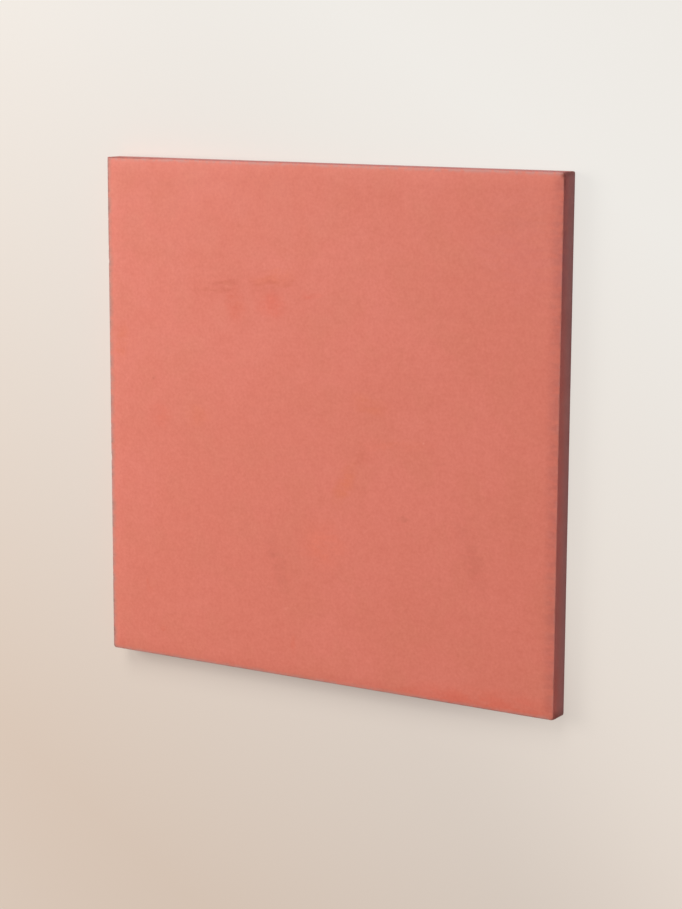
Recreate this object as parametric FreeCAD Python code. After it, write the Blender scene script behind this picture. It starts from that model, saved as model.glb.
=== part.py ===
import FreeCAD, Part
import math
import os

from FreeCAD import Vector

# A square floor tile, pressed and fired as one piece of unglazed clay.
# It lies face up. The origin is the middle of its underside, +Z points up out of the wearing face.
# All sizes are in millimetres.

# Overall size
TILE_LENGTH = 300.0  # along X
TILE_WIDTH = 300.0  # along Y
TILE_THICKNESS = 14.0  # underside to the flat of the wearing face

# Edges
CORNER_RADIUS = 1.5  # the four corners in plan
CUSHION_WIDTH = 9.0  # margin over which the wearing face falls away to its arris
CUSHION_DROP = 0.6  # how far it has fallen at the arris
FACE_ARRIS_RADIUS = 0.7
BACK_ARRIS_RADIUS = 0.7

# Keys: shallow grooves in the underside that the bedding mortar grips
KEY_COUNT = 10
KEY_WIDTH = 12.0  # at the mouth, along X
KEY_DEPTH = 1.5
KEY_WALL_RUN = 1.5  # how far a sloping wall leans in from mouth to floor
KEY_CORNER_RADIUS = 4.0  # the corners of the mouth in plan
KEY_BORDER = 20.0  # plain border left all round the keyed field

# Modelling values
CUSHION_SECTIONS = 4  # outlines that the cushioned margin is lofted through
HEIGHT_TOLERANCE = 1e-5  # for finding the edges that lie at one height


def rounded_outline(length, width, radius, height, middle_x=0.0):
    """A closed rectangle with rounded corners, level at the given height."""
    half_length = length / 2
    half_width = width / 2
    arc_middle = radius * (1 - math.sqrt(0.5))
    corner_arcs = []
    for side_x, side_y in ((1, -1), (1, 1), (-1, 1), (-1, -1)):
        on_width_side = Vector(middle_x + side_x * (half_length - radius), side_y * half_width, height)
        on_corner = Vector(
            middle_x + side_x * (half_length - arc_middle), side_y * (half_width - arc_middle), height
        )
        on_length_side = Vector(middle_x + side_x * half_length, side_y * (half_width - radius), height)
        arc_points = [on_width_side, on_corner, on_length_side]
        if side_x * side_y > 0:
            arc_points.reverse()
        corner_arcs.append(arc_points)
    edges = []
    for corner, (start, middle, end) in enumerate(corner_arcs):
        next_start = corner_arcs[(corner + 1) % len(corner_arcs)][0]
        edges.append(Part.Arc(start, middle, end).toShape())
        edges.append(Part.LineSegment(end, next_start).toShape())
    return Part.Wire(edges)


def edges_at_height(solid, height):
    """The edges of the solid that lie level at the given height."""
    return [
        edge
        for edge in solid.Edges
        if abs(edge.BoundBox.ZMin - height) < HEIGHT_TOLERANCE
        and abs(edge.BoundBox.ZMax - height) < HEIGHT_TOLERANCE
    ]


def cushioned_cap():
    """The top of the tile: flat in the middle, its margin falling away along an arc tangent to the flat."""
    arc_radius = (CUSHION_WIDTH**2 + CUSHION_DROP**2) / (2 * CUSHION_DROP)
    full_turn = math.asin(CUSHION_WIDTH / arc_radius)
    outlines = []
    for section in range(CUSHION_SECTIONS):
        turn = full_turn * (1 - section / (CUSHION_SECTIONS - 1))
        inset = CUSHION_WIDTH - arc_radius * math.sin(turn)
        fallen = arc_radius * (1 - math.cos(turn))
        outlines.append(
            rounded_outline(
                TILE_LENGTH - 2 * inset,
                TILE_WIDTH - 2 * inset,
                CORNER_RADIUS + inset,
                TILE_THICKNESS - fallen,
            )
        )
    make_solid, ruled = True, False
    return Part.makeLoft(outlines, make_solid, ruled)


def tile_blank():
    """The tile with its rounded arrises, before the keys are cut."""
    rim_height = TILE_THICKNESS - CUSHION_DROP
    slab = Part.Face(rounded_outline(TILE_LENGTH, TILE_WIDTH, CORNER_RADIUS, 0)).extrude(Vector(0, 0, rim_height))
    blank = slab.fuse(cushioned_cap()).removeSplitter()
    blank = blank.makeFillet(FACE_ARRIS_RADIUS, edges_at_height(blank, rim_height))
    return blank.makeFillet(BACK_ARRIS_RADIUS, edges_at_height(blank, 0))


def key_cutter(middle_x):
    """One key: a long groove with sloping walls and rounded corners, closed at both ends."""
    key_length = TILE_WIDTH - 2 * KEY_BORDER
    mouth = rounded_outline(KEY_WIDTH, key_length, KEY_CORNER_RADIUS, 0, middle_x)
    floor = rounded_outline(
        KEY_WIDTH - 2 * KEY_WALL_RUN,
        key_length - 2 * KEY_WALL_RUN,
        KEY_CORNER_RADIUS - KEY_WALL_RUN,
        KEY_DEPTH,
        middle_x,
    )
    make_solid, ruled = True, True
    return Part.makeLoft([mouth, floor], make_solid, ruled)


def keyed_tile():
    """The finished tile: the blank with its row of keys across the underside."""
    key_pitch = (TILE_LENGTH - 2 * KEY_BORDER) / KEY_COUNT
    first_key = -(KEY_COUNT - 1) / 2 * key_pitch
    cutters = [key_cutter(first_key + number * key_pitch) for number in range(KEY_COUNT)]
    return tile_blank().cut(cutters)


tile = keyed_tile()
print("solids", len(tile.Solids), "valid", tile.isValid(), "volume", round(tile.Volume, 1))

os.makedirs("parts", exist_ok=True)
tile.Solids[0].exportStep("parts/floor_tile.step")
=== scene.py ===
import math
import random

import bmesh
import bpy
import numpy as np
from mathutils import Matrix, Vector, noise


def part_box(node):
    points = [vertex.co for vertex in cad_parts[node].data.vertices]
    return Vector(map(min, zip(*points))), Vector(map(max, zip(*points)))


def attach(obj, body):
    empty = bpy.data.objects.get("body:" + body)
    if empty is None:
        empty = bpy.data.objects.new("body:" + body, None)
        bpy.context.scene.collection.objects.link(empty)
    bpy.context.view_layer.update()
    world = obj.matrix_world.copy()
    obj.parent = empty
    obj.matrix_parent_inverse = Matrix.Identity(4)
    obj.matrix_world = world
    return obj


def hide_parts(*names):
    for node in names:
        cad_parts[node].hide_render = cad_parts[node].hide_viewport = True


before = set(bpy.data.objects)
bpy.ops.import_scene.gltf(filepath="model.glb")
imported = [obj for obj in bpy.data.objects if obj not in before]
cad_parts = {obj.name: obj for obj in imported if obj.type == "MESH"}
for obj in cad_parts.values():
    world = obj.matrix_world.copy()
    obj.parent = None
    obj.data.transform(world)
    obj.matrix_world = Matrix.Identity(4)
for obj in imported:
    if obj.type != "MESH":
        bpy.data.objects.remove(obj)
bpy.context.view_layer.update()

print("frame loaded:", ", ".join(sorted(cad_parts)))

# Camera: it looks down on the tile from its east side, as the four corners of the face place it
photoCamera = {
    "place": (0.6756, 0.2128, 1.1143),  # metres
    "lookAlong": (-0.50781, -0.17388, -0.84374),
    "upward": (-0.09300, 0.98476, -0.14697),
    "focalPixels": 2289.6,
    "longSidePixels": 909,
    "sensorMillimetres": 36.0,
}


def setCamera(spec):
    back = -Vector(spec["lookAlong"]).normalized()
    right = Vector(spec["upward"]).cross(back).normalized()
    up = back.cross(right)
    lens = bpy.data.cameras.new("photoCamera")
    lens.sensor_width = spec["sensorMillimetres"]
    lens.lens = spec["sensorMillimetres"] * spec["focalPixels"] / spec["longSidePixels"]
    camera = bpy.data.objects.new("photoCamera", lens)
    bpy.context.scene.collection.objects.link(camera)
    turn = Matrix((right, up, back)).transposed()
    camera.matrix_world = Matrix.Translation(spec["place"]) @ turn.to_4x4()
    bpy.context.scene.camera = camera


setCamera(photoCamera)
print("camera set")

# Tile: one closed mesh in place of the plain solid, with the same sections and the wear of the real one
tileForm = {
    "cushionWidth": 0.009,  # margin over which the face falls away to its arris
    "cushionDrop": 0.0006,
    "faceArris": 0.0007,  # radius
    "backArris": 0.0007,
    # radius in plan of each corner, by the signs of its x and y
    "cornerRadii": {(-1, -1): 0.0011, (1, -1): 0.0008, (1, 1): 0.0008, (-1, 1): 0.0005},
    "cornerBlend": 3.0,  # how the fall of two margins adds up at a corner
    "keyCount": 10,  # grooves in the underside, along Y
    "keyWidth": 0.012,
    "keyDepth": 0.0015,
    "keyWall": 0.0015,  # run of a sloping wall
    "keyEase": 0.0003,  # how far a wall's ends are rounded off beyond that run
    "keyCorner": 0.004,
    "keyBorder": 0.020,
}
tileCells = {
    "face": 240,  # cells along each side of the face
    "faceEase": 0.5,  # 0 spaces them evenly, towards 1 they crowd to the edges
    "faceArris": 5,
    "side": 7,
    "backArris": 4,
    "keyWall": 4,
    "keyFloor": 4,
    "keyLand": 4,
    "keyBorder": 10,
    "keyLength": 48,
    "backSeam": 0.0012,  # strip that joins the ring of the back arris to the grid of the underside
}
lookOfFace, lookOfEdge, lookOfBack = 0, 1, 2  # material slots of the mesh
# Axis along which each side faces, and its sign
sides = {"east": (0, 1), "west": (0, -1), "north": (1, 1), "south": (1, -1)}
noiseShift = (1.0, -1.0, 0.5)  # how far an offset moves the noise along X, Y and Z


def noiseAt(xs, ys, length, offset, zs=None):
    # smooth noise between about 0 and 1, with waves of this length
    zs = np.zeros_like(xs) if zs is None else zs
    places = [(values / length + share * offset).flat for values, share in zip((xs, ys, zs), noiseShift)]
    return 0.5 + 0.5 * np.array([noise.noise(place) for place in zip(*places)]).reshape(xs.shape)


def smoothStep(values, low, high):
    t = np.clip((values - low) / (high - low), 0, 1)
    return t * t * (3 - 2 * t)


def crowdedLines(half, cells, ease):
    t = np.linspace(-1, 1, cells + 1)
    return half * ((1 - ease) * t + ease * np.sin(t * math.pi / 2))


def linesBetween(stops, cells):
    # lines through the stops, with the given number of cells in each gap
    parts = [np.linspace(a, b, n, endpoint=False) for a, b, n in zip(stops[:-1], stops[1:], cells)]
    return np.concatenate(parts + [stops[-1:]])


def rimOrder(columns, rows):
    # grid places round the border, anticlockwise seen from above, from the south-west corner
    south = [(i, 0) for i in range(columns)]
    east = [(columns, j) for j in range(rows)]
    north = [(i, rows) for i in range(columns, 0, -1)]
    west = [(0, j) for j in range(rows, 0, -1)]
    return np.array(south + east + north + west)


def marginFall(inset):
    # how far the cushioned margin has fallen at this distance in from the edge
    width, drop = tileForm["cushionWidth"], tileForm["cushionDrop"]
    radius = (width**2 + drop**2) / (2 * drop)
    run = np.clip(width - inset, 0, width)
    return radius - np.sqrt(radius**2 - run**2)


def rimSlope():
    width, drop = tileForm["cushionWidth"], tileForm["cushionDrop"]
    return math.asin(2 * drop * width / (width**2 + drop**2))


def roundCorners(xs, ys, half):
    # rounds the corners of a grid in plan, and gives each point its way outwards
    outX = np.where(np.isclose(np.abs(xs), np.abs(xs).max()), np.sign(xs), 0.0)
    outY = np.where(np.isclose(np.abs(ys), np.abs(ys).max()), np.sign(ys), 0.0)
    for (signX, signY), radius in tileForm["cornerRadii"].items():
        a = signX * xs - (half[0] - radius)
        b = signY * ys - (half[1] - radius)
        near = (a > 0) & (b > 0)
        length = np.hypot(a, b)[near]
        reach = np.maximum(a, b)[near]
        outX[near] = signX * a[near] / length
        outY[near] = signY * b[near] / length
        xs[near] = signX * (half[0] - radius) + outX[near] * reach
        ys[near] = signY * (half[1] - radius) + outY[near] * reach
    return outX, outY


faceRelief = {  # waves are depth and length in metres, and an offset in the noise
    "waves": [(0.00016, 0.16, 3.1), (0.00004, 0.030, 7.7), (0.000012, 0.0055, 12.3)],
    "drag": (0.000003, 0.0035, 17.9),  # fine lines the way the clay was struck off
    "dragStretch": 26.0,
    "dragLean": 0.03,  # rise of those lines for each metre along X
    "pitCount": 40,
    "pitRadius": (0.0007, 0.0018),
    "pitDepth": (0.00003, 0.00009),
    "pitFloor": 0.2,  # share of a pit's radius that is level
    "pitSeed": 21,
}


def faceDepth(xs, ys, half):
    # how far the worn face lies below a true one
    depth = np.zeros_like(xs)
    for amount, length, offset in faceRelief["waves"]:
        depth += amount * noiseAt(xs, ys, length, offset)
    amount, length, offset = faceRelief["drag"]
    lean = faceRelief["dragLean"] * xs
    depth += amount * noiseAt(xs / faceRelief["dragStretch"], ys - lean, length, offset)
    dice = random.Random(faceRelief["pitSeed"])
    for pit in range(faceRelief["pitCount"]):
        x, y = dice.uniform(-half[0], half[0]), dice.uniform(-half[1], half[1])
        radius = dice.uniform(*faceRelief["pitRadius"])
        deep = dice.uniform(*faceRelief["pitDepth"])
        away = np.hypot(xs - x, ys - y)
        depth += deep * (1 - smoothStep(away, faceRelief["pitFloor"] * radius, radius))
    return depth - depth.min()


def faceGrid(half, thickness, inset):
    # wearing face: a grid that stops where the arris begins, and each point's way outwards
    cells, ease, blend = tileCells["face"], tileCells["faceEase"], tileForm["cornerBlend"]
    lines = [crowdedLines(size - inset, cells, ease) for size in half]
    xs, ys = np.meshgrid(*lines, indexing="ij")
    ways = np.stack(roundCorners(xs, ys, half), -1)
    fallX = marginFall(half[0] - np.abs(xs))
    fallY = marginFall(half[1] - np.abs(ys))
    fall = (fallX**blend + fallY**blend) ** (1 / blend)
    zs = thickness - fall - faceDepth(xs, ys, half)
    return np.stack([xs, ys, zs], -1), ways


sideDent = (0.00010, 0.009, 2.2)  # hollows: depth and length in metres, and an offset in the noise


def edgeRings(border, ways, slope, inset):
    # arris, side and back arris: rings stepped out and down from the border of the face
    arris, backArris = tileForm["faceArris"], tileForm["backArris"]
    x, y, top = border.T
    steps = []
    for k in range(1, tileCells["faceArris"] + 1):
        turn = slope + (math.pi / 2 - slope) * k / tileCells["faceArris"]
        look = lookOfFace if k <= tileCells["faceArris"] // 2 else lookOfEdge
        level = top + arris * (math.cos(turn) - math.cos(slope))
        steps.append((inset - arris * (1 - math.sin(turn)), level, look))
    sideTop = top - arris * math.cos(slope)
    dent, length, offset = sideDent
    for k in range(1, tileCells["side"] + 1):
        share = k / tileCells["side"]
        level = sideTop * (1 - share) + backArris * share
        hollow = dent * math.sin(math.pi * share) * noiseAt(x, y, length, offset, level)
        steps.append((inset - hollow, level, lookOfEdge))
    for k in range(1, tileCells["backArris"] + 1):
        turn = math.pi / 2 * k / tileCells["backArris"]
        level = np.full(len(top), backArris * (1 - math.sin(turn)))
        steps.append((inset - backArris * (1 - math.cos(turn)), level, lookOfEdge))
    rings = []
    for out, level, look in steps:
        rings.append((np.stack([x + ways[:, 0] * out, y + ways[:, 1] * out, level], -1), look))
    return rings


def keyMiddles(half):
    pitch = 2 * (half[0] - tileForm["keyBorder"]) / tileForm["keyCount"]
    return [(number - (tileForm["keyCount"] - 1) / 2) * pitch for number in range(tileForm["keyCount"])]


def keyDepthAt(xs, ys, half):
    # depth of the keys: grooves with rounded ends and eased walls
    corner, ease = tileForm["keyCorner"], tileForm["keyEase"]
    depth = np.zeros_like(xs)
    for middle in keyMiddles(half):
        qx = np.abs(xs - middle) - (tileForm["keyWidth"] / 2 - corner)
        qy = np.abs(ys) - (half[1] - tileForm["keyBorder"] - corner)
        within = np.minimum(np.maximum(qx, qy), 0)
        outside = np.hypot(np.maximum(qx, 0), np.maximum(qy, 0)) + within - corner
        depth += smoothStep(-outside, -ease, tileForm["keyWall"] + ease)
    return depth * tileForm["keyDepth"]


def backLines(half):
    # grid lines of the underside, set where the walls of the keys are
    ease = tileForm["keyEase"]
    wall = tileForm["keyWall"] + ease
    mouth = tileForm["keyWidth"] / 2
    edge = tileForm["backArris"] + tileCells["backSeam"]
    stopsX, cellsX = [-half[0] + edge], [tileCells["keyBorder"]]
    for middle in keyMiddles(half):
        left, right = middle - mouth, middle + mouth
        stopsX += [left - ease, left + wall, right - wall, right + ease]
        cellsX += [tileCells["keyWall"], tileCells["keyFloor"], tileCells["keyWall"], tileCells["keyLand"]]
    stopsX.append(half[0] - edge)
    cellsX[-1] = tileCells["keyBorder"]
    end = half[1] - tileForm["keyBorder"]
    stopsY = [-half[1] + edge, -end - ease, -end + wall, end - wall, end + ease, half[1] - edge]
    cellsY = [tileCells[name] for name in ("keyBorder", "keyWall", "keyLength", "keyWall", "keyBorder")]
    return linesBetween(np.array(stopsX), cellsX), linesBetween(np.array(stopsY), cellsY)


backRelief = {
    "rough": (0.00012, 0.006, 31.0),  # depth and length, metres, and an offset in the noise
    "levelRim": (0.002, 0.006),  # distance from the edge where it begins, and where it is full
}


def undersideGrid(half):
    xs, ys = np.meshgrid(*backLines(half), indexing="ij")
    rough, length, offset = backRelief["rough"]
    fromEdge = np.minimum(half[0] - np.abs(xs), half[1] - np.abs(ys))
    inside = smoothStep(fromEdge, *backRelief["levelRim"])
    zs = keyDepthAt(xs, ys, half) + rough * inside * noiseAt(xs, ys, length, offset)
    return np.stack([xs, ys, zs], -1)


def gridFaces(start, columns, rows, upward):
    faces = []
    for i in range(columns):
        for j in range(rows):
            a = start + i * (rows + 1) + j
            b = a + rows + 1
            faces.append((a, b, b + 1, a + 1) if upward else (a, a + 1, b + 1, b))
    return faces


def ringFaces(upper, lower):
    count = len(upper)
    nextOne = [(k + 1) % count for k in range(count)]
    return [(upper[k], lower[k], lower[n], upper[n]) for k, n in enumerate(nextOne)]


def zipFaces(outer, inner, outerAt, innerAt):
    # triangles between two rows of points that run side by side
    faces, i, j = [], 0, 0
    while i < len(outer) - 1 or j < len(inner) - 1:
        outerTurn = j == len(inner) - 1 or (i < len(outer) - 1 and outerAt[i + 1] <= innerAt[j + 1])
        if outerTurn:
            faces.append((outer[i], inner[j], outer[i + 1]))
            i += 1
        else:
            faces.append((outer[i], inner[j], inner[j + 1]))
            j += 1
    return faces


def seamFaces(points, outerRing, innerRing, outerCells, innerCells):
    # joins the ring of the back arris to the border of the underside, side by side
    faces, outerStart, innerStart = [], 0, 0
    for axis, sign in ((0, 1), (1, 1), (0, -1), (1, -1)):  # the way south, east, north and west run
        outerEnd, innerEnd = outerStart + outerCells, innerStart + innerCells[axis]
        outer = [outerRing[k % len(outerRing)] for k in range(outerStart, outerEnd + 1)]
        inner = [innerRing[k % len(innerRing)] for k in range(innerStart, innerEnd + 1)]
        faces += zipFaces(outer, inner, sign * points[outer, axis], sign * points[inner, axis])
        outerStart, innerStart = outerEnd, innerEnd
    return faces


edgeStray = {
    "waves": [(0.00009, 0.055), (0.00005, 0.0065)],  # how far an edge strays inwards, and over what length
    "reach": 0.014,  # how deep into the face the straying is felt
    "heightShare": 0.3,  # how fast it changes with height, against along the edge
    "signOffset": 4.3,  # offsets in the noise, which keep the sides from straying alike
    "axisOffset": 9.1,
}


def strayEdges(points, half):
    # lets the four sides wander a little inwards, in plan
    x, y, z = points.T
    moved = points.copy()
    for axis, along in ((0, y), (1, x)):
        for sign in (-1, 1):
            near = smoothStep(sign * points[:, axis], half[axis] - edgeStray["reach"], half[axis])
            some = near > 0
            height = z[some] * edgeStray["heightShare"]
            offset = edgeStray["signOffset"] * sign + edgeStray["axisOffset"] * axis
            stray = np.zeros(len(points))
            for amount, length in edgeStray["waves"]:
                stray[some] += amount * noiseAt(along[some], height, length, offset)
            moved[:, axis] -= sign * near * stray
    return moved


arrisChips = {
    # side, metres from its north or west end, length, depth
    "placed": [
        ("east", 0.003, 0.0030, 0.00030),
        ("east", 0.033, 0.0040, 0.00022),
        ("east", 0.077, 0.0036, 0.00026),
        ("east", 0.092, 0.0028, 0.00020),
        ("east", 0.156, 0.0030, 0.00016),
        ("east", 0.238, 0.0040, 0.00018),
        ("west", 0.181, 0.0036, 0.00035),
        ("west", 0.062, 0.0030, 0.00025),
        ("north", 0.012, 0.0040, 0.00030),
        ("north", 0.034, 0.0045, 0.00022),
        ("south", 0.041, 0.0035, 0.00022),
        ("south", 0.214, 0.0030, 0.00020),
    ],
    "corners": {(1, 1): 0.0002, (-1, -1): 0.0002, (1, -1): 0.0003, (-1, 1): 0.0001},  # depth cut off
    "cornerReach": 0.008,
    "cornerRise": 0.9,  # how much a corner's cut leans towards the face
    "scattered": 34,
    "span": (0.02, 0.98),  # shares of a side's length between which they are scattered
    "length": (0.0012, 0.0032),
    "depth": (0.00006, 0.00018),
    "tilt": 0.25,  # radians that a flake leans from half-way between face and side
    "reach": 0.006,  # how far in from the side a flake can take off clay
    "freshDepth": 0.0002,  # cut at which the clay under it shows fully
    "seed": 5,
}


def listChips(dice, half):
    chips = list(arrisChips["placed"])
    for flake in range(arrisChips["scattered"]):
        side = dice.choice(list(sides))
        length, depth = dice.uniform(*arrisChips["length"]), dice.uniform(*arrisChips["depth"])
        chips.append((side, dice.uniform(*arrisChips["span"]) * 2 * half[0], length, depth))
    return chips


def shave(points, hit, over, normal, fresh):
    # lays the hit points back onto a cut, and notes how much of the clay under it shows
    points[hit] -= over[hit, None] * normal
    fresh[hit] = np.maximum(fresh[hit], np.clip(over[hit] / arrisChips["freshDepth"], 0, 1))


def alongSide(points, half, axis):
    # how far each point lies from the north or west end of the sides that face along an axis
    return half[1] - points[:, 1] if axis == 0 else points[:, 0] + half[0]


def chipArrises(points, half, rimHeight):
    # takes flakes off the arrises of the face, and returns how fresh each point's surface is
    fresh = np.zeros(len(points))
    dice = random.Random(arrisChips["seed"])
    roundedOff = tileForm["faceArris"] * (math.sqrt(2) - 1)
    for side, place, length, depth in listChips(dice, half):
        lean = math.pi / 4 + dice.uniform(-arrisChips["tilt"], arrisChips["tilt"])
        axis, sign = sides[side]
        along = alongSide(points, half, axis) - place
        normal = np.zeros(3)
        normal[axis] = sign * math.cos(lean)
        normal[2] = math.sin(lean)
        corner = np.array([0.0, 0.0, rimHeight])
        corner[axis] = sign * half[axis]
        cut = depth * np.clip(1 - (2 * along / length) ** 2, 0, 1)
        over = (points - corner) @ normal + roundedOff + cut
        near = (np.abs(along) < length / 2) & (sign * points[:, axis] > half[axis] - arrisChips["reach"])
        shave(points, near & (over > 0), over, normal, fresh)
    reach = arrisChips["cornerReach"]
    for (signX, signY), depth in arrisChips["corners"].items():
        normal = np.array([signX, signY, arrisChips["cornerRise"]])
        normal /= np.linalg.norm(normal)
        near = (signX * points[:, 0] > half[0] - reach) & (signY * points[:, 1] > half[1] - reach)
        height = points @ normal
        over = height - (height[near].max() - depth)
        shave(points, near & (over > 0), over, normal, fresh)
    return fresh


arrisGrimeAndShade = {
    # share of dust along each side's arrises
    "rubbed": {"east": 0.46, "west": 1.0, "north": 1.0, "south": 0.85},
    "rubReach": 0.0024,  # how far from an arris it fades
    # dirt and painted shade at the face arris: side, start and end in metres from its north or west end,
    # share
    "soiledAndShaded": [
        ("north", 0.000, 0.052, 0.8),
        ("north", 0.030, 0.140, 0.32),
        ("west", 0.000, 0.076, 1.0),
        ("west", 0.040, 0.260, 0.55),
        ("west", 0.250, 0.325, 1.0),
        ("south", 0.000, 0.220, 0.38),
        ("south", 0.210, 0.325, 0.58),
        ("east", 0.000, 0.020, 0.9),
        ("east", 0.006, 0.100, 0.35),
    ],
    "soilAndShadeReach": (0.0008, 0.0035),  # how far it fades in over the face, and down the side
    "soilAndShadeFade": 0.022,  # along the arris
    # share of dirt and painted shade at each corner, by the signs of its x and y
    "cornersSoiledAndShaded": {(1, 1): 1.0, (1, -1): 1.0, (-1, 1): 0.8, (-1, -1): 0.7},
    "cornerSoilAndShadeReach": 0.0022,
}


def arrisWear(points, half, rimHeight):
    # dust on the arrises of the face and the back, fading within a few millimetres
    wear = np.zeros(len(points))
    for side, share in arrisGrimeAndShade["rubbed"].items():
        axis, sign = sides[side]
        inset = half[axis] - sign * points[:, axis]
        fromArris = np.minimum(np.hypot(inset, points[:, 2] - rimHeight), np.hypot(inset, points[:, 2]))
        wear = np.maximum(wear, share * np.exp(-fromArris / arrisGrimeAndShade["rubReach"]))
    return wear


def arrisSoilAndShade(points, half, rimHeight):
    # dirt and painted shade along some stretches of the face arris and at the corners
    soilAndShade, fade = np.zeros(len(points)), arrisGrimeAndShade["soilAndShadeFade"]
    over, down = arrisGrimeAndShade["soilAndShadeReach"]
    for side, start, end, share in arrisGrimeAndShade["soiledAndShaded"]:
        axis, sign = sides[side]
        along = alongSide(points, half, axis)
        stretch = smoothStep(along, start - fade, start) * (1 - smoothStep(along, end - fade, end))
        away = np.hypot((half[axis] - sign * points[:, axis]) / over, (points[:, 2] - rimHeight) / down)
        soilAndShade = np.maximum(soilAndShade, share * stretch * np.exp(-away))
    for (signX, signY), share in arrisGrimeAndShade["cornersSoiledAndShaded"].items():
        away = np.hypot(half[0] - signX * points[:, 0], half[1] - signY * points[:, 1])
        soilAndShade = np.maximum(soilAndShade, share * np.exp(-away / arrisGrimeAndShade["cornerSoilAndShadeReach"]))
    return soilAndShade


def makeMeshObject(name, points, faces, looks, masks):
    mesh = bpy.data.meshes.new(name)
    mesh.from_pydata(points.tolist(), [], faces)
    mesh.polygons.foreach_set("material_index", looks)
    mesh.polygons.foreach_set("use_smooth", [True] * len(faces))
    for maskName, values in masks.items():
        mesh.attributes.new(maskName, "FLOAT", "POINT").data.foreach_set("value", values.astype(np.float32))
    form = bmesh.new()
    form.from_mesh(mesh)
    bmesh.ops.recalc_face_normals(form, faces=form.faces)
    form.to_mesh(mesh)
    form.free()
    made = bpy.data.objects.new(name, mesh)
    bpy.context.scene.collection.objects.link(made)
    return made


def buildTile():
    low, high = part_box("floor_tile")
    half = ((high.x - low.x) / 2, (high.y - low.y) / 2)
    thickness = high.z - low.z
    rimHeight = thickness - tileForm["cushionDrop"]
    slope = rimSlope()
    inset = tileForm["faceArris"] * (1 - math.sin(slope))  # where the face meets its arris
    cells = tileCells["face"]

    face, ways = faceGrid(half, thickness, inset)
    blocks = [face.reshape(-1, 3)]
    faces = gridFaces(0, cells, cells, True)
    looks = [lookOfFace] * len(faces)
    rim = rimOrder(cells, cells)
    upper = list(rim[:, 0] * (cells + 1) + rim[:, 1])
    count = len(blocks[0])
    for ring, look in edgeRings(face[rim[:, 0], rim[:, 1]], ways[rim[:, 0], rim[:, 1]], slope, inset):
        lower = list(range(count, count + len(ring)))
        blocks.append(ring)
        faces += ringFaces(upper, lower)
        looks += [look] * len(ring)
        upper, count = lower, count + len(ring)

    back = undersideGrid(half)
    columns, rows = back.shape[0] - 1, back.shape[1] - 1
    blocks.append(back.reshape(-1, 3))
    points = np.concatenate(blocks)
    backRim = rimOrder(columns, rows)
    innerRing = list(count + backRim[:, 0] * (rows + 1) + backRim[:, 1])
    backFaces = gridFaces(count, columns, rows, False)
    backFaces += seamFaces(points, upper, innerRing, cells, (columns, rows))
    faces += backFaces
    looks += [lookOfBack] * len(backFaces)

    masks = {"freshChip": chipArrises(points, half, rimHeight)}
    masks["arrisWear"] = arrisWear(points, half, rimHeight)
    # dirt and painted shade along the face arris and at the corners
    masks["arrisSoilAndShade"] = arrisSoilAndShade(points, half, rimHeight)
    points = strayEdges(points, half)
    triangles = sum(len(face) - 2 for face in faces)
    print("tile mesh:", len(points), "points,", triangles, "triangles")
    return makeMeshObject("firedTile", points, faces, looks, masks)


# Small helpers for shader nodes
noiseMiddle = 0.5  # noise swings about this value
shiftWay = (1.0, -0.7, 0.4)  # the way a shift moves the noise


def addNode(tree, kind, inputs=None, **settings):
    node = tree.nodes.new(kind)
    for name, value in settings.items():
        setattr(node, name, value)
    for name, value in (inputs or {}).items():
        if isinstance(value, bpy.types.NodeSocket):
            tree.links.new(value, node.inputs[name])
        else:
            node.inputs[name].default_value = value
    return node


def calc(tree, operation, a, b):
    return addNode(tree, "ShaderNodeMath", {0: a, 1: b}, operation=operation).outputs[0]


def vectorCalc(tree, operation, a, b):
    return addNode(tree, "ShaderNodeVectorMath", {0: a, 1: b}, operation=operation).outputs[0]


def vectorLength(tree, vector):
    return addNode(tree, "ShaderNodeVectorMath", {0: vector}, operation="LENGTH").outputs["Value"]


def dotProduct(tree, a, b):
    return addNode(tree, "ShaderNodeVectorMath", {0: a, 1: b}, operation="DOT_PRODUCT").outputs["Value"]


def mixColours(tree, share, a, b, blend="MIX"):
    node = addNode(tree, "ShaderNodeMix", {0: share, 6: a, 7: b}, data_type="RGBA", blend_type=blend)
    return node.outputs[2]


def ramp(tree, value, low, high, fromValue=0.0, toValue=1.0, form="SMOOTHSTEP"):
    inputs = {0: value, 1: low, 2: high, 3: fromValue, 4: toValue}
    return addNode(tree, "ShaderNodeMapRange", inputs, interpolation_type=form).outputs[0]


def noiseNode(tree, vector, scale, detail, roughness, output="Fac"):
    inputs = {"Vector": vector, "Scale": scale, "Detail": detail, "Roughness": roughness}
    return addNode(tree, "ShaderNodeTexNoise", inputs).outputs[output]


def shifted(tree, vector, offset):
    # keeps one noise from repeating another
    return vectorCalc(tree, "ADD", vector, [offset * share for share in shiftWay])


def shaded(tree, colour, value, amount):
    # the colour made lighter and darker by noise
    swing = calc(tree, "MULTIPLY", calc(tree, "SUBTRACT", value, noiseMiddle), amount)
    inputs = {"Value": calc(tree, "ADD", swing, 1.0), "Color": colour}
    return addNode(tree, "ShaderNodeHueSaturation", inputs).outputs[0]


def newGroup(name, inputs, outputs):
    # inputs are name: default, and the default's form gives the kind of socket
    group = bpy.data.node_groups.new(name, "ShaderNodeTree")
    for socketName, default in inputs.items():
        if isinstance(default, float):
            kind = "NodeSocketFloat"
        else:
            kind = "NodeSocketColor" if len(default) == 4 else "NodeSocketVector"
        socket = group.interface.new_socket(socketName, in_out="INPUT", socket_type=kind)
        socket.default_value = default
    for socketName, kind in outputs.items():
        group.interface.new_socket(socketName, in_out="OUTPUT", socket_type=kind)
    start = group.nodes.new("NodeGroupInput").outputs
    end = group.nodes.new("NodeGroupOutput").inputs
    return group, start, end


def placeGroup(tree, group, inputs):
    return addNode(tree, "ShaderNodeGroup", inputs, node_tree=group).outputs


def rgb(red, green, blue):
    return (red, green, blue, 1.0)


midGrey = rgb(0.5, 0.5, 0.5)
origin = (0.0, 0.0, 0.0)
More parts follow.
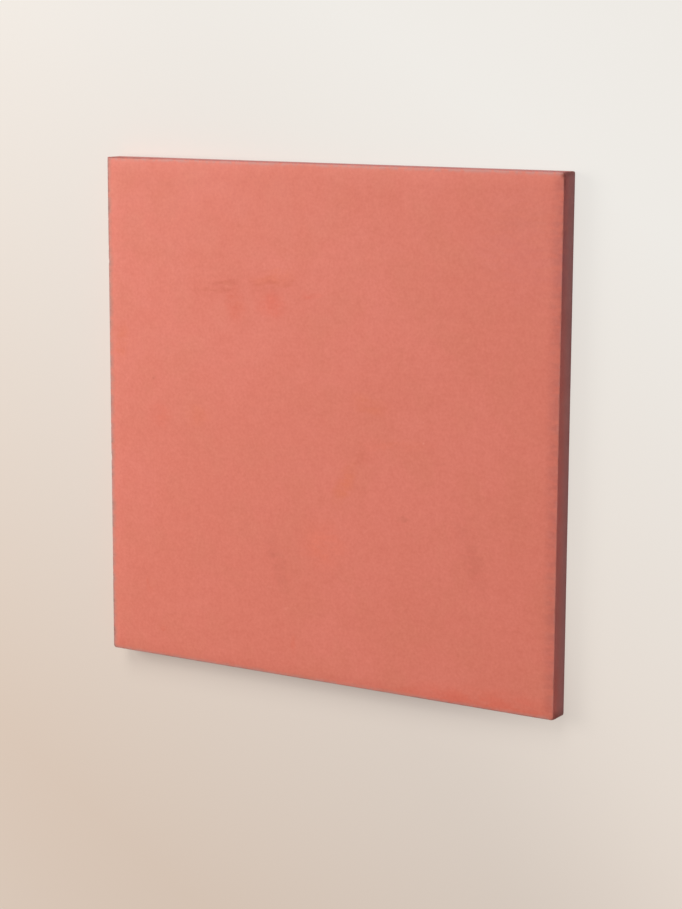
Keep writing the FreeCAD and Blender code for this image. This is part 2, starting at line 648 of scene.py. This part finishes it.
# Effects in the clay: noise is scale, detail and roughness, and a span is where a mask starts and ends,
# in some with its values there
clayTexture = {
    "pinkNoise": (15.0, 3.0, 0.5),
    "pinkSpan": (0.40, 0.66),
    "tanNoise": (42.0, 3.0, 0.5),
    "tanShift": 3.7,
    "tanSpan": (0.42, 0.70),
    "fineNoise": (560.0, 2.0, 0.6),
    "fineShare": 0.6,
    "coarseNoise": (210.0, 2.0, 0.5),
    "coarseShift": 8.1,
    "coarseShare": 0.4,
    "gritTone": (0.40, 1.00, 1.12),  # pale grit is greyer than the clay, so green and blue change the most
    "poreNoise": (900.0, 2.0, 0.6),
    "lineNoise": (2.0, 0.6),  # detail and roughness only
    "dustNoise": (380.0, 2.0, 0.65),
    "dustSpan": (0.36, 0.60, 0.15, 1.0),
    "wearSpan": (0.25, 0.85),
    # noise that breaks up the dirt and painted shade along the arrises
    "dirtAndShadeNoise": (170.0, 2.0, 0.65),
    "dirtAndShadeShift": 2.9,
    "dirtAndShadeSpan": (0.34, 0.58, 0.5, 1.0),
    "soilAndShadeSpan": (0.1, 0.8),
    "smearSpan": (0.10, 0.56, 1.0, 0.0),
}


def clayToneGroup():
    # fired clay: soft clouds of two other tones, and a fine grain of light and dark
    tones = {"Clay": midGrey, "Pink": midGrey, "Tan": midGrey}
    inputs = {"Vector": origin, **tones, "Clouds": 0.5, "Grain": 0.05}
    group, start, end = newGroup("clayTone", inputs, {"Colour": "NodeSocketColor"})
    vector = start["Vector"]
    moved = shifted(group, vector, clayTexture["tanShift"])
    pink = ramp(group, noiseNode(group, vector, *clayTexture["pinkNoise"]), *clayTexture["pinkSpan"])
    tan = ramp(group, noiseNode(group, moved, *clayTexture["tanNoise"]), *clayTexture["tanSpan"])
    colour = mixColours(group, calc(group, "MULTIPLY", pink, start["Clouds"]), start["Clay"], start["Pink"])
    colour = mixColours(group, calc(group, "MULTIPLY", tan, start["Clouds"]), colour, start["Tan"])
    moved = shifted(group, vector, clayTexture["coarseShift"])
    fine = noiseNode(group, vector, *clayTexture["fineNoise"])
    fine = calc(group, "MULTIPLY", fine, clayTexture["fineShare"])
    coarse = noiseNode(group, moved, *clayTexture["coarseNoise"])
    both = calc(group, "ADD", fine, calc(group, "MULTIPLY", coarse, clayTexture["coarseShare"]))
    swing = calc(group, "MULTIPLY", calc(group, "SUBTRACT", both, noiseMiddle), start["Grain"])
    toned = vectorCalc(group, "MULTIPLY", swing, clayTexture["gritTone"])
    grit = vectorCalc(group, "ADD", toned, (1.0, 1.0, 1.0))
    group.links.new(mixColours(group, 1.0, colour, grit, "MULTIPLY"), end["Colour"])
    return group


def clayPoresGroup():
    # small open pores and grit: a mask of them, and a height for the bump
    inputs = {"Vector": origin, "Scale": 400.0, "Share": 0.2, "Size": 0.3}
    outputs = {"Mask": "NodeSocketFloat", "Height": "NodeSocketFloat"}
    group, start, end = newGroup("clayPores", inputs, outputs)
    spread = {"Vector": start["Vector"], "Scale": start["Scale"]}
    cells = addNode(group, "ShaderNodeTexVoronoi", spread).outputs
    pick = addNode(group, "ShaderNodeSeparateColor", {0: cells["Color"]}).outputs[0]
    chosen = calc(group, "LESS_THAN", pick, start["Share"])
    near = ramp(group, cells["Distance"], 0.0, start["Size"], 1.0, 0.0)
    mask = calc(group, "MULTIPLY", near, chosen)
    fine = noiseNode(group, start["Vector"], *clayTexture["poreNoise"])
    group.links.new(mask, end["Mask"])
    group.links.new(calc(group, "SUBTRACT", fine, mask), end["Height"])
    return group


def pressLinesGroup():
    # fine lines left where the clay was struck off or slid along its mould
    inputs = {"Vector": origin, "Turn": 0.0, "Stretch": (1.0, 1.0, 1.0), "Scale": 200.0}
    group, start, end = newGroup("pressLines", inputs, {"Lines": "NodeSocketFloat"})
    inputs = {"Vector": start["Vector"], "Angle": start["Turn"]}
    turned = addNode(group, "ShaderNodeVectorRotate", inputs, rotation_type="Z_AXIS").outputs[0]
    drawn = vectorCalc(group, "MULTIPLY", turned, start["Stretch"])
    group.links.new(noiseNode(group, drawn, start["Scale"], *clayTexture["lineNoise"]), end["Lines"])
    return group


def arrisDustAndShadeGroup():
    # pale rubbed clay, and dark dirt with painted shade, along the arrises, broken up so that neither is an
    # even line
    inputs = {"Vector": origin, "Wear": 0.0, "SoilAndShade": 0.0, "Amount": 0.5}
    outputs = {"Dust": "NodeSocketFloat", "DirtAndShade": "NodeSocketFloat"}
    group, start, end = newGroup("arrisDustAndShade", inputs, outputs)
    patches = noiseNode(group, start["Vector"], *clayTexture["dustNoise"])
    patches = ramp(group, patches, *clayTexture["dustSpan"])
    worn = calc(group, "MULTIPLY", ramp(group, start["Wear"], *clayTexture["wearSpan"]), patches)
    group.links.new(calc(group, "MULTIPLY", worn, start["Amount"]), end["Dust"])
    moved = shifted(group, start["Vector"], clayTexture["dirtAndShadeShift"])
    broken = ramp(group, noiseNode(group, moved, *clayTexture["dirtAndShadeNoise"]), *clayTexture["dirtAndShadeSpan"])
    soiledAndShaded = ramp(group, start["SoilAndShade"], *clayTexture["soilAndShadeSpan"])
    group.links.new(calc(group, "MULTIPLY", soiledAndShaded, broken), end["DirtAndShade"])
    return group


def smearGroup():
    # one rubbed mark: an ellipse in plan, which fades towards its edge and is broken by a streaky value
    inputs = {"Vector": origin, "Place": origin, "Size": (0.01, 0.01, 1.0), "Turn": 0.0, "Streaks": 1.0}
    group, start, end = newGroup("smear", inputs, {"Mask": "NodeSocketFloat"})
    away = vectorCalc(group, "SUBTRACT", start["Vector"], start["Place"])
    inputs = {"Vector": vectorCalc(group, "MULTIPLY", away, (1.0, 1.0, 0.0)), "Angle": start["Turn"]}
    turned = addNode(group, "ShaderNodeVectorRotate", inputs, rotation_type="Z_AXIS").outputs[0]
    distance = vectorLength(group, vectorCalc(group, "DIVIDE", turned, start["Size"]))
    soft = ramp(group, distance, *clayTexture["smearSpan"])
    group.links.new(calc(group, "MULTIPLY", soft, start["Streaks"]), end["Mask"])
    return group


groups = {
    "clayTone": clayToneGroup(),
    "clayPores": clayPoresGroup(),
    "pressLines": pressLinesGroup(),
    "arrisDustAndShade": arrisDustAndShadeGroup(),
    "smear": smearGroup(),
}
print("node groups:", ", ".join(groups))

# Finishes of the tile, colours in linear light
allFinishes = {  # what the three have in common
    "specular": 0.3,
    "speckShare": 0.6,  # of pale grit
    "chipShare": 0.5,  # of fresh clay in a chip
    "poreTint": rgb(0.72, 0.66, 0.64),
    "patchNoise": (70.0, 3.0, 0.6),  # rougher and smoother patches
    "patchShift": 5.3,
    "patchSpan": (0.3, 0.7),
}
faceFinish = {
    "clay": rgb(0.699, 0.179, 0.119),
    "pink": rgb(0.723, 0.188, 0.130),
    "tan": rgb(0.683, 0.181, 0.116),
    "pale": rgb(0.800, 0.330, 0.250),
    "dust": rgb(0.540, 0.255, 0.220),
    "fresh": rgb(0.620, 0.190, 0.130),
    "clouds": 0.7,
    "grain": 0.50,
    "lines": {"Turn": -0.03, "Stretch": (0.04, 1.0, 1.0), "Scale": 330.0},  # the turn in radians
    "lineShade": 0.02,
    "lineBump": 0.10,
    "pores": {"Scale": 420.0, "Share": 0.12, "Size": 0.24},
    "poreShade": 0.20,
    "specks": {"Scale": 60.0, "Share": 0.06, "Size": 0.06},
    "dustAmount": 0.80,
    "bottomTint": None,
    "roughness": (0.50, 0.57),
    "bump": (0.35, 0.00008),  # strength, distance
}
edgeFinish = {
    "clay": rgb(0.586, 0.139, 0.108),
    "pink": rgb(0.586, 0.156, 0.128),
    "tan": rgb(0.553, 0.141, 0.107),
    # pale dust on the arrises, and the tint the sides take towards the bottom
    "dust": rgb(0.555, 0.265, 0.240),
    "fresh": rgb(0.600, 0.160, 0.120),
    "clouds": 0.6,
    "grain": 0.20,
    "lines": {"Turn": 0.0, "Stretch": (0.10, 0.10, 1.0), "Scale": 480.0},
    "lineShade": 0.10,
    "lineBump": 0.5,
    "pores": {"Scale": 300.0, "Share": 0.18, "Size": 0.34},
    "poreShade": 0.35,
    "specks": None,
    "dustAmount": 0.45,
    "bottomTint": (0.0125, 0.001, 0.58),  # levels where the sides begin to turn greyer and paler towards the bottom and where that is full, and its share there
    "roughness": (0.62, 0.80),
    "bump": (0.45, 0.00012),
}
backFinish = {
    "clay": rgb(0.600, 0.180, 0.130),
    "pink": rgb(0.640, 0.220, 0.170),
    "tan": rgb(0.560, 0.195, 0.140),
    "dust": rgb(0.720, 0.360, 0.290),
    "fresh": rgb(0.620, 0.190, 0.130),
    "clouds": 0.8,
    "grain": 0.28,
    "lines": {"Turn": 0.0, "Stretch": (1.0, 0.06, 1.0), "Scale": 260.0},
    "lineShade": 0.14,
    "lineBump": 0.5,
    "pores": {"Scale": 260.0, "Share": 0.24, "Size": 0.36},
    "poreShade": 0.40,
    "specks": None,
    "dustAmount": 0.5,
    "bottomTint": None,
    "roughness": (0.78, 0.92),
    "bump": (0.6, 0.0002),
}
stainsAndPaintedLight = {  # what a mark multiplies the clay's colour by where it is full
    "umber": rgb(0.84, 0.66, 0.54),
    "red": rgb(1.02, 0.80, 0.73),
    "ochre": rgb(1.00, 0.92, 0.70),
    "grey": rgb(0.84, 0.78, 0.74),
    "tan": rgb(1.04, 0.985, 0.925),
    "pale": rgb(1.05, 1.16, 1.20),
    "cool": rgb(0.97, 0.99, 1.06),
    # painted shade: darkening laid on where the face and the east side turn from the lamps
    "paintedShade": rgb(0.85, 0.87, 0.94),
    "ash": rgb(0.70, 1.00, 1.10),
    # pale chalky dust and painted highlight along the arrises
    "chalkAndHighlight": rgb(1.02, 1.20, 1.30),
    "ruddy": rgb(1.16, 0.99, 0.92),
    # dirt and painted shade at the arrises and corners
    "dirtAndShade": rgb(0.58, 0.50, 0.46),
}
# Marks: middle in plan, length and width, turn in degrees, tint, share
faceMarks = [
    # the smear in the north-west, with its strokes, pale gap and drip
    ((-0.0495, 0.0785), (0.0820, 0.0190), 3, "umber", 0.24),
    ((-0.0290, 0.0812), (0.0420, 0.0048), 5, "umber", 0.52),
    ((-0.0645, 0.0792), (0.0340, 0.0048), 2, "umber", 0.52),
    ((-0.0725, 0.0750), (0.0340, 0.0046), 2, "umber", 0.46),
    ((-0.0315, 0.0840), (0.0360, 0.0120), 5, "ochre", 0.45),
    ((-0.0642, 0.0785), (0.0090, 0.0042), 4, "pale", 1.00),
    ((-0.0585, 0.0675), (0.0230, 0.0170), -82, "red", 0.55),
    ((-0.0585, 0.0690), (0.0160, 0.0110), -80, "umber", 0.34),
    ((-0.0350, 0.0695), (0.0220, 0.0210), 10, "red", 0.72),
    ((-0.0062, 0.0757), (0.0180, 0.0042), 0, "red", 0.75),
    # stains near the middle
    ((0.0155, -0.0310), (0.0320, 0.0130), 62, "ochre", 0.80),
    ((0.0260, -0.0150), (0.0190, 0.0140), 30, "umber", 0.32),
    ((0.0310, 0.0155), (0.0280, 0.0120), -10, "ochre", 0.45),
    ((0.0490, -0.0060), (0.0560, 0.0070), 4, "tan", 0.60),
    # grey rubs and a tan cloud
    ((0.0550, -0.0470), (0.0110, 0.0046), 3, "grey", 0.60),
    ((0.0970, -0.0630), (0.0620, 0.0170), -70, "grey", 0.42),
    ((-0.0290, -0.0835), (0.0440, 0.0130), -72, "grey", 0.52),
    ((0.0010, -0.0680), (0.0360, 0.0340), 10, "tan", 0.90),
    # faint clouds and a spot in the west
    ((-0.0870, 0.0430), (0.0260, 0.0210), 20, "pale", 0.25),
    ((-0.0855, 0.0000), (0.0240, 0.0170), 5, "ochre", 0.35),
    ((-0.1120, -0.0020), (0.0180, 0.0170), -20, "red", 0.35),
    ((-0.1400, 0.0400), (0.0300, 0.0120), 80, "ochre", 0.50),
    ((-0.1170, 0.0210), (0.0050, 0.0040), 0, "grey", 0.50),
    # short red scratches
    ((-0.1123, -0.1323), (0.0060, 0.0044), 0, "red", 0.40),
    ((-0.0180, -0.1300), (0.0130, 0.0044), -80, "red", 0.50),
    ((-0.1217, -0.1067), (0.0130, 0.0044), -75, "red", 0.40),
    # the cooler north-east corner
    ((0.1280, 0.1100), (0.0800, 0.0800), 0, "cool", 0.70),
    # pale spots
    ((-0.1210, -0.0570), (0.0040, 0.0032), 0, "pale", 0.80),
    ((-0.0370, -0.0980), (0.0046, 0.0038), 0, "pale", 0.80),
    ((-0.0230, -0.1080), (0.0038, 0.0032), 0, "pale", 0.80),
    ((0.0290, -0.0570), (0.0040, 0.0032), 0, "pale", 0.70),
]
marginMarks = [  # along the edges of the face, with straighter outlines
    # painted shade along the east margin of the face
    ((0.1500, 0.0000), (0.8000, 0.0170), 90, "paintedShade", 1.00),
    # pale dust and painted highlight along the east arris
    ((0.1500, 0.0000), (0.8000, 0.0032), 90, "chalkAndHighlight", 0.90),
    ((-0.1500, 0.0000), (0.8000, 0.0085), 90, "ash", 1.00),
    ((-0.1500, 0.0000), (0.8000, 0.0036), 90, "ash", 1.00),
    # dirt and painted shade at the ends of the west edge
    ((-0.1500, 0.1350), (0.0850, 0.0044), 90, "dirtAndShade", 0.50),
    ((-0.1500, -0.1400), (0.0850, 0.0044), 90, "dirtAndShade", 0.55),
    ((0.0000, -0.1500), (0.8000, 0.0060), 0, "ash", 0.45),
    # pale dust and painted highlight along the north edge
    ((0.0000, 0.1500), (0.8000, 0.0036), 0, "chalkAndHighlight", 1.00),
    ((0.0980, -0.1490), (0.1500, 0.0260), 3, "red", 0.80),
    # pale dust and painted highlight near the south-east corner
    ((0.1420, -0.1490), (0.0200, 0.0036), 0, "chalkAndHighlight", 0.70),
    # dirt and painted shade at the north-east corner
    ((0.1488, 0.1490), (0.0050, 0.0032), 80, "dirtAndShade", 0.90),
]
sideMarks = [  # painted shade darkens the east side to the north, dirt and painted shade darken one corner, the north side is paler
    # painted shade at the north end of the east side
    ((0.1500, 0.1350), (0.2000, 0.0600), 90, "paintedShade", 1.00),
    ((0.1500, -0.0150), (0.1800, 0.0600), 90, "ruddy", 0.50),
    ((0.1500, -0.1480), (0.0700, 0.0600), 90, "ruddy", 1.00),
    # pale dust and painted highlight on the north side
    ((0.0000, 0.1500), (0.8000, 0.0060), 0, "chalkAndHighlight", 1.00),
    # dirt and painted shade at the south-east corner
    ((0.1500, -0.1500), (0.0130, 0.0130), 0, "dirtAndShade", 1.00),
]
markFray = {
    "noise": (95.0, 3.0, 0.6),
    "streakNoise": (210.0, 2.0, 0.6),
    "streakStretch": (0.4, 1.0, 1.0),
    "streakSpan": (0.34, 0.62, 0.3, 1.0),
}
faceFray, marginFray = 0.010, 0.003  # how far outlines stray, metres


def layMarks(tree, vector, colour, marks, fray):
    # lays the marks on, with outlines frayed and insides streaked by noise
    push = noiseNode(tree, vector, *markFray["noise"], "Color")
    push = vectorCalc(tree, "SUBTRACT", push, (noiseMiddle,) * 3)
    frayed = vectorCalc(tree, "ADD", vector, vectorCalc(tree, "MULTIPLY", push, (fray,) * 3))
    drawn = vectorCalc(tree, "MULTIPLY", vector, markFray["streakStretch"])
    streaks = ramp(tree, noiseNode(tree, drawn, *markFray["streakNoise"]), *markFray["streakSpan"])
    for (x, y), (length, width), turn, tint, share in marks:
        inputs = {"Vector": frayed, "Place": (x, y, 0.0), "Size": (length, width, 1.0), "Streaks": streaks}
        mask = placeGroup(tree, groups["smear"], {**inputs, "Turn": -math.radians(turn)})["Mask"]
        colour = mixColours(tree, calc(tree, "MULTIPLY", mask, share), colour, stainsAndPaintedLight[tint], "MULTIPLY")
    return colour


def clayColour(tree, vector, finish, lines, poreMask, marks):
    # the clay itself, with its press lines, marks, pale grit and pores
    tones = {"Vector": vector, "Clay": finish["clay"], "Pink": finish["pink"], "Tan": finish["tan"]}
    tones.update({"Clouds": finish["clouds"], "Grain": finish["grain"]})
    colour = placeGroup(tree, groups["clayTone"], tones)["Colour"]
    colour = shaded(tree, colour, lines, finish["lineShade"])
    for laid, fray in marks:
        colour = layMarks(tree, vector, colour, laid, fray)
    if finish["specks"]:
        grit = placeGroup(tree, groups["clayPores"], {"Vector": vector, **finish["specks"]})["Mask"]
        gritShare = calc(tree, "MULTIPLY", grit, allFinishes["speckShare"])
        colour = mixColours(tree, gritShare, colour, finish["pale"])
    poreShare = calc(tree, "MULTIPLY", poreMask, finish["poreShade"])
    return mixColours(tree, poreShare, colour, allFinishes["poreTint"], "MULTIPLY")


def meshMask(tree, name):
    return addNode(tree, "ShaderNodeAttribute", attribute_name=name).outputs["Fac"]


def grimeAndShadeColour(tree, vector, finish, colour):
    # dust, fresh chips, and dirt with painted shade, over the clay
    inputs = {"Vector": vector, "Wear": meshMask(tree, "arrisWear"), "SoilAndShade": meshMask(tree, "arrisSoilAndShade")}
    arris = placeGroup(tree, groups["arrisDustAndShade"], {**inputs, "Amount": finish["dustAmount"]})
    dust = arris["Dust"]
    # the sides turn greyer and paler towards the bottom
    if finish["bottomTint"]:
        begins, full, share = finish["bottomTint"]
        level = addNode(tree, "ShaderNodeSeparateXYZ", {0: vector}).outputs["Z"]
        dust = calc(tree, "MAXIMUM", dust, ramp(tree, level, begins, full, 0.0, share))
    colour = mixColours(tree, dust, colour, finish["dust"])
    chip = calc(tree, "MULTIPLY", meshMask(tree, "freshChip"), allFinishes["chipShare"])
    colour = mixColours(tree, chip, colour, finish["fresh"])
    # dirt and painted shade multiplied over the arrises and corners
    return mixColours(tree, arris["DirtAndShade"], colour, stainsAndPaintedLight["dirtAndShade"], "MULTIPLY")


def clayMaterial(name, finish, marks=()):
    material = bpy.data.materials.new(name)
    material.use_nodes = True
    tree = material.node_tree
    shader = tree.nodes["Principled BSDF"]
    shader.inputs["Specular IOR Level"].default_value = allFinishes["specular"]
    vector = addNode(tree, "ShaderNodeTexCoord").outputs["Object"]
    lines = placeGroup(tree, groups["pressLines"], {"Vector": vector, **finish["lines"]})["Lines"]
    pores = placeGroup(tree, groups["clayPores"], {"Vector": vector, **finish["pores"]})
    colour = clayColour(tree, vector, finish, lines, pores["Mask"], marks)
    tree.links.new(grimeAndShadeColour(tree, vector, finish, colour), shader.inputs["Base Color"])

    moved = shifted(tree, vector, allFinishes["patchShift"])
    patchy = noiseNode(tree, moved, *allFinishes["patchNoise"])
    rough = ramp(tree, patchy, *allFinishes["patchSpan"], *finish["roughness"])
    tree.links.new(rough, shader.inputs["Roughness"])
    height = calc(tree, "ADD", pores["Height"], calc(tree, "MULTIPLY", lines, finish["lineBump"]))
    strength, distance = finish["bump"]
    bump = addNode(tree, "ShaderNodeBump", {"Height": height, "Strength": strength, "Distance": distance})
    tree.links.new(bump.outputs[0], shader.inputs["Normal"])
    return material


tile = buildTile()
frontMarks = [(faceMarks, faceFray), (marginMarks, marginFray)]
tile.data.materials.append(clayMaterial("clayFace", faceFinish, frontMarks))
tile.data.materials.append(clayMaterial("clayEdge", edgeFinish, [(sideMarks, marginFray)]))
tile.data.materials.append(clayMaterial("clayBack", backFinish))
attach(tile, "root")
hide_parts("floor_tile")
print("tile finished")

# Floor: a wide pale sheet, painted darker and warmer towards the south-west as a fall of the light, that
# fades into the backdrop
floorLook = {
    "radius": 9.0,
    "segments": 96,
    "roughness": 0.9,
    "specular": 0.0,
    # painted fall of the light: darker and warmer to the south-west, paler to the north-east
    "warm": rgb(0.724, 0.588, 0.486),
    "pale": rgb(0.875, 0.845, 0.800),
    "slant": (0.60, 1.0, 0.0),  # the tone changes along this way
    "toneSpan": (-0.37, 0.24),  # metres along it
    "glow": (0.30, 0.84),  # share of what is seen that no shadow darkens, least and most
    "glowSlant": (1.0, 0.6, 0.0),  # it grows along this way
    "glowSpan": (-0.06, 0.12),  # metres along it
    "bounce": rgb(0.67, 0.68, 0.70),  # what the tile's sides see of it
    "backdrop": rgb(0.86, 0.82, 0.77),
    "fade": (0.35, 0.68),  # distance from the tile over which the backdrop takes over
}


def seenDirectly(tree):
    # 1 for what the camera, a reflection or a clear surface shows
    path = addNode(tree, "ShaderNodeLightPath").outputs
    seen = calc(tree, "MAXIMUM", path["Is Camera Ray"], path["Is Glossy Ray"])
    return calc(tree, "MAXIMUM", seen, path["Is Transmission Ray"])


def makeFloor(look):
    form = bmesh.new()
    bmesh.ops.create_circle(form, cap_ends=True, segments=look["segments"], radius=look["radius"])
    mesh = bpy.data.meshes.new("studioFloor")
    form.to_mesh(mesh)
    form.free()
    floor = bpy.data.objects.new("studioFloor", mesh)
    bpy.context.scene.collection.objects.link(floor)
    material = bpy.data.materials.new("paleFloor")
    material.use_nodes = True
    tree = material.node_tree
    shader = tree.nodes["Principled BSDF"]
    shader.inputs["Roughness"].default_value = look["roughness"]
    shader.inputs["Specular IOR Level"].default_value = look["specular"]
    seen = seenDirectly(tree)
    vector = addNode(tree, "ShaderNodeTexCoord").outputs["Object"]
    along = dotProduct(tree, vector, look["slant"])
    tone = ramp(tree, along, *look["toneSpan"], form="LINEAR")
    sheet = mixColours(tree, tone, look["warm"], look["pale"])
    far = ramp(tree, vectorLength(tree, vector), *look["fade"])
    tree.links.new(mixColours(tree, seen, look["bounce"], sheet), shader.inputs["Base Color"])
    glow = addNode(tree, "ShaderNodeEmission", {"Color": mixColours(tree, far, sheet, look["backdrop"])})
    near = ramp(tree, dotProduct(tree, vector, look["glowSlant"]), *look["glowSpan"], *look["glow"])
    share = calc(tree, "MULTIPLY", calc(tree, "MAXIMUM", near, far), seen)
    mixed = addNode(tree, "ShaderNodeMixShader", {0: share, 1: shader.outputs[0], 2: glow.outputs[0]})
    tree.links.new(mixed.outputs[0], tree.nodes["Material Output"].inputs["Surface"])
    mesh.materials.append(material)


makeFloor(floorLook)

# Light: a large soft lamp from the west, a second one from the north, and a dim room
studioLight = {
    "lamps": {
        "softKey": {"place": (-1.40, 0.42, 1.45), "size": 1.3, "power": 30.4},
        "softNorth": {"place": (-0.30, 3.60, 3.30), "size": 2.8, "power": 92.0},
    },
    "colour": (1.0, 0.985, 0.965),
    "room": rgb(0.88, 0.95, 1.04),
    "roomStrength": 0.25,
}


def hangLamp(name, place, size, power, colour):
    lamp = bpy.data.lights.new(name, "AREA")
    lamp.shape = "DISK"
    lamp.size = size
    lamp.energy = power
    lamp.color = colour
    hung = bpy.data.objects.new(name, lamp)
    bpy.context.scene.collection.objects.link(hung)
    hung.location = place
    hung.rotation_euler = (-Vector(place)).to_track_quat("-Z", "Y").to_euler()


def lightStudio(spec, backdrop):
    for name, lamp in spec["lamps"].items():
        hangLamp(name, lamp["place"], lamp["size"], lamp["power"], spec["colour"])
    world = bpy.data.worlds.new("studioRoom")
    bpy.context.scene.world = world
    world.use_nodes = True
    tree = world.node_tree
    room = tree.nodes["Background"]
    room.inputs["Color"].default_value = spec["room"]
    room.inputs["Strength"].default_value = spec["roomStrength"]
    seenRoom = addNode(tree, "ShaderNodeBackground", {"Color": backdrop})
    inputs = {0: seenDirectly(tree), 1: room.outputs[0], 2: seenRoom.outputs[0]}
    mixed = addNode(tree, "ShaderNodeMixShader", inputs)
    tree.links.new(mixed.outputs[0], tree.nodes["World Output"].inputs["Surface"])


lightStudio(studioLight, floorLook["backdrop"])
bpy.context.scene.view_settings.view_transform = "Standard"
print("floor and light set")
